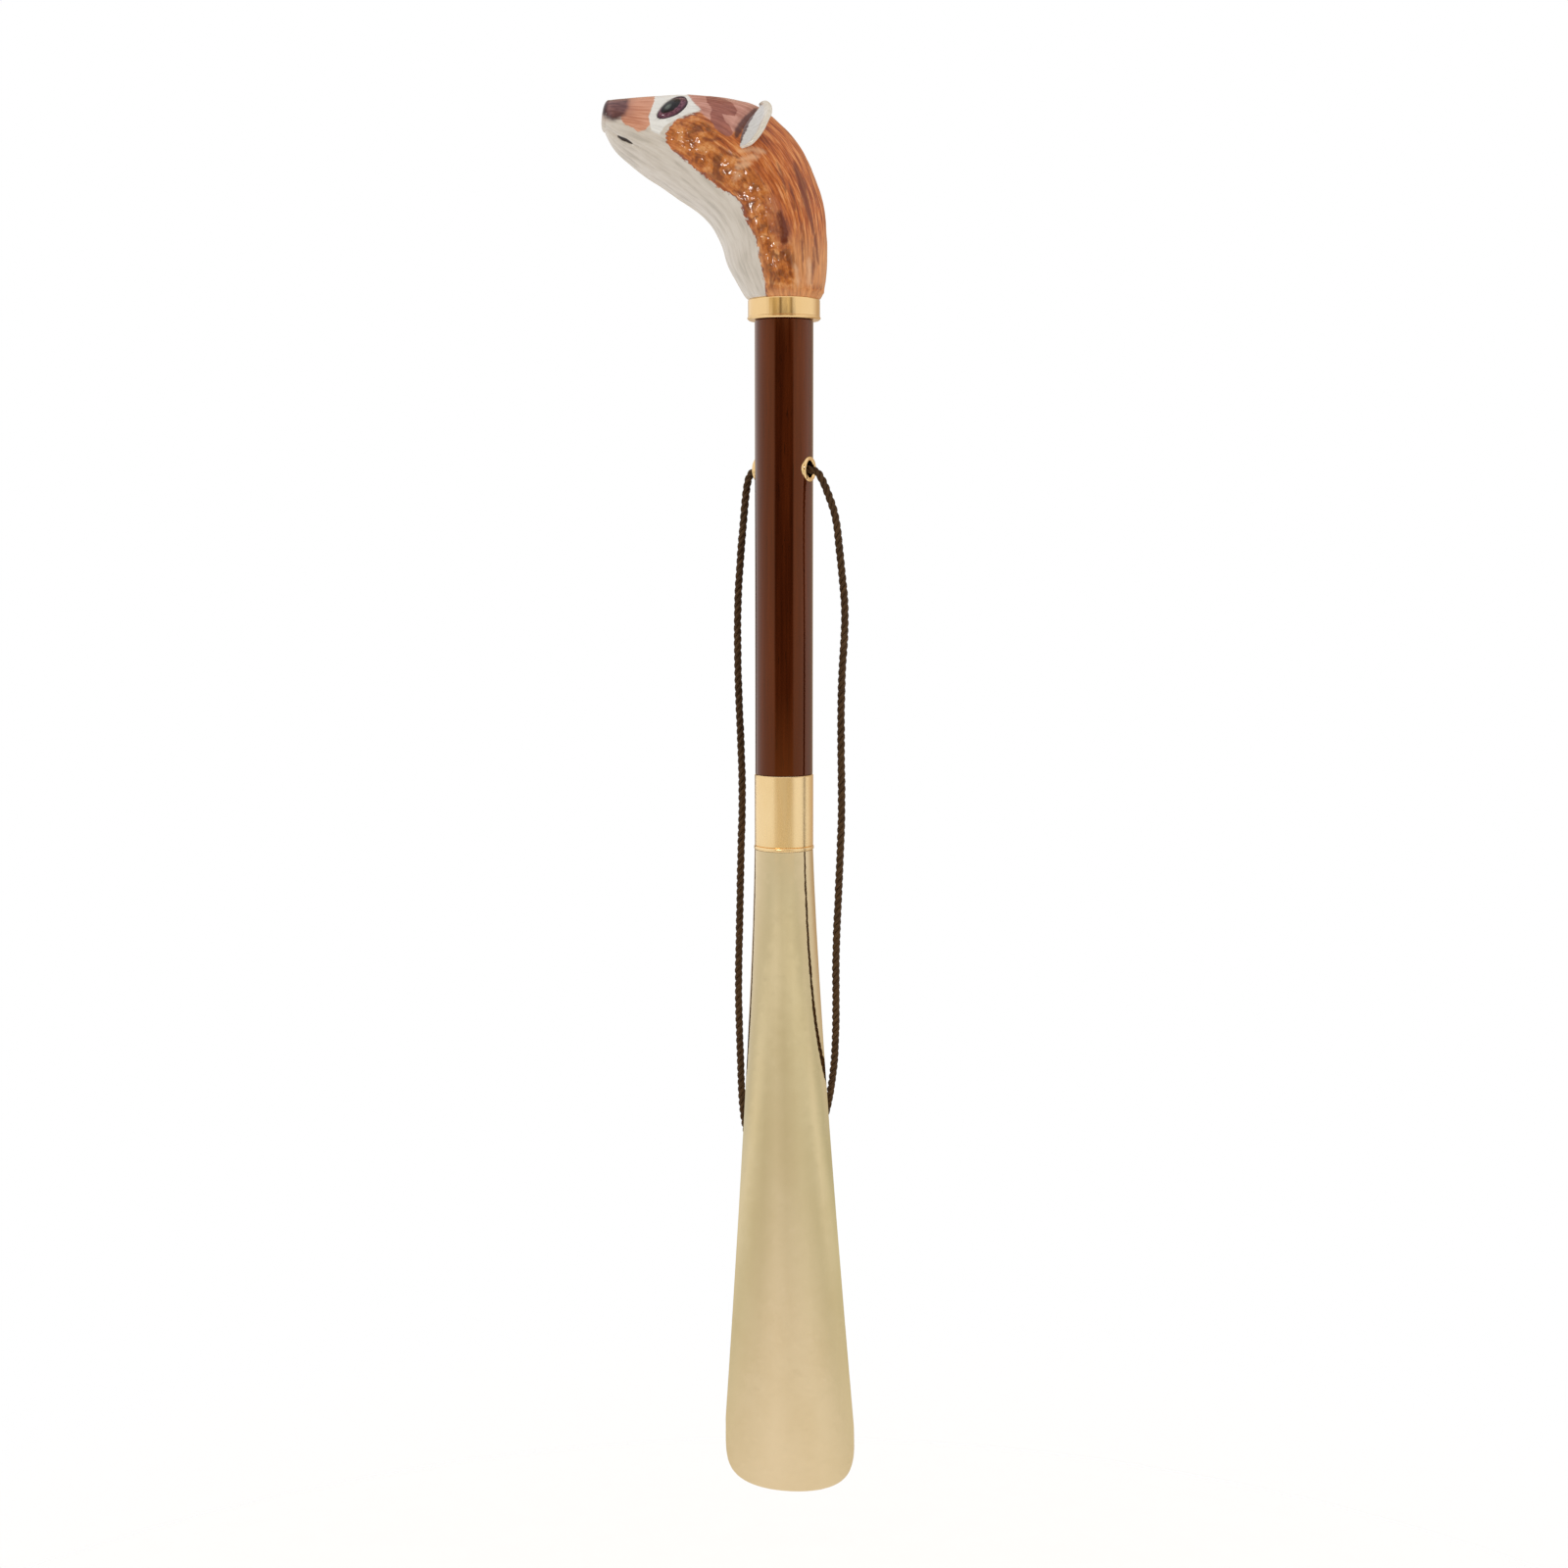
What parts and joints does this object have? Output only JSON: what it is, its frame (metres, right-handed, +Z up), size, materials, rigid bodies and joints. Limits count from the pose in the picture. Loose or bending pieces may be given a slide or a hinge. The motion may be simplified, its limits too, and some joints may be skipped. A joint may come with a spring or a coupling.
{
  "type": "long shoehorn",
  "caption": "Long shoehorn: a polished trough-shaped blade, a round wooden shaft, a cast and enamelled animal head as its knob, and a twisted hanging cord through a cross bore.",
  "frame": {"origin": "on the shaft's axis, halfway up the bare wood, where a hand holds it", "axes": "+Z up the shaft towards the head, -X the way the animal looks, +Y out of the blade's hollow (the blade is turned 10 degrees about Z from that)"},
  "size_m": [0.0898, 0.0352, 0.5066],
  "materials": {
    "enamel": "hand painted glossy enamel: russet back, white throat, dark nose",
    "eye_glass": "black glass stone, polished",
    "polished_brass": "mirror polished, gold plated",
    "plain_brass": "as turned",
    "steel": "zinc plated thread",
    "lacquered_wood": "dark reddish brown, clear gloss lacquer",
    "blade_brass": "pale gold, polished with soft brushed lines",
    "cord": "dark brown twisted cord"
  },
  "bodies": {
    "shoehorn": {"head_casting": "enamel", "eye_left": "eye_glass", "eye_right": "eye_glass", "neck_collar": "polished_brass", "neck_stud": "steel", "neck_insert": "plain_brass", "wood_shaft": "lacquered_wood", "eyelet_right": "polished_brass", "eyelet_left": "polished_brass", "ferrule": "polished_brass", "blade_insert": "plain_brass", "blade_stud": "steel", "blade_plug": "polished_brass", "blade": "blade_brass"},
    "cord_loop": {"cord": "cord", "cord_knot": "cord"}
  },
  "joints": [
    {"name": "cord_swing", "type": "hinge", "parent": "shoehorn", "child": "cord_loop", "pos_m": [0, 0, 0.0286], "axis": [0.8829, -0.4695, 0], "range_deg": [0, 150]}
  ]
}
